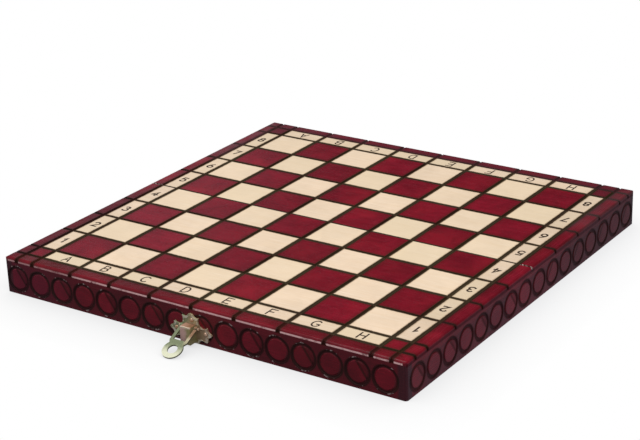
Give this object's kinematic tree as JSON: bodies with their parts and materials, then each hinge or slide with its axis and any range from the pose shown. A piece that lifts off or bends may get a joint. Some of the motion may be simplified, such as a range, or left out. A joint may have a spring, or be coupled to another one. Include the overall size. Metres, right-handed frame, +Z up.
{
  "type": "chess box with hinged lid",
  "caption": "Folding wooden chess box: two shallow trays hinged edge to edge, flat chequered playing face when open, ring-lever clasp that latches it when folded.",
  "frame": {"origin": "on the table plane, below the middle of the fold between the two trays", "axes": "+X along the front edge from file a to file h, +Y from the front edge (rank 1) to the back edge (rank 8), +Z up out of the playing face; the box lies open"},
  "size_m": [0.35, 0.3851, 0.0297],
  "materials": {
    "burgundy_wood": "gloss lacquer over stained wood",
    "playing_face": "lacquered plywood, natural and burgundy squares",
    "felt": "felt",
    "hinge_brass": "plated",
    "pin_steel": "plated",
    "nail_brass": "polished",
    "lever_brass": "antique plated",
    "clasp_brass": "antique plated"
  },
  "bodies": {
    "front": {"front_wall": "burgundy_wood", "front_left_wall": "burgundy_wood", "front_right_wall": "burgundy_wood", "front_centre_wall": "burgundy_wood", "front_panel": "playing_face", "front_felt": "felt", "left_hinge_front_leaf": "hinge_brass", "left_hinge_pin": "pin_steel", "right_hinge_front_leaf": "hinge_brass", "right_hinge_pin": "pin_steel", "hinge_screws_front": "pin_steel", "clasp_plate": "clasp_brass", "clasp_bracket": "clasp_brass", "clasp_pivot_pin": "nail_brass", "clasp_nails": "nail_brass"},
    "back": {"back_wall": "burgundy_wood", "back_left_wall": "burgundy_wood", "back_right_wall": "burgundy_wood", "back_centre_wall": "burgundy_wood", "back_panel": "playing_face", "back_felt": "felt", "left_hinge_back_leaf": "hinge_brass", "right_hinge_back_leaf": "hinge_brass", "hinge_screws_back": "pin_steel", "catch_plate": "clasp_brass", "catch_knob": "clasp_brass", "catch_nails": "nail_brass"},
    "lever": {"latch_lever": "lever_brass"}
  },
  "joints": [
    {"name": "fold", "type": "hinge", "parent": "front", "child": "back", "pos_m": [0, 0, 0], "axis": [-1, 0, 0], "range_deg": [0, 180]},
    {"name": "latch", "type": "hinge", "parent": "front", "child": "lever", "pos_m": [0, -0.1778, 0.013], "axis": [1, 0, 0], "range_deg": [-110, 65]}
  ]
}
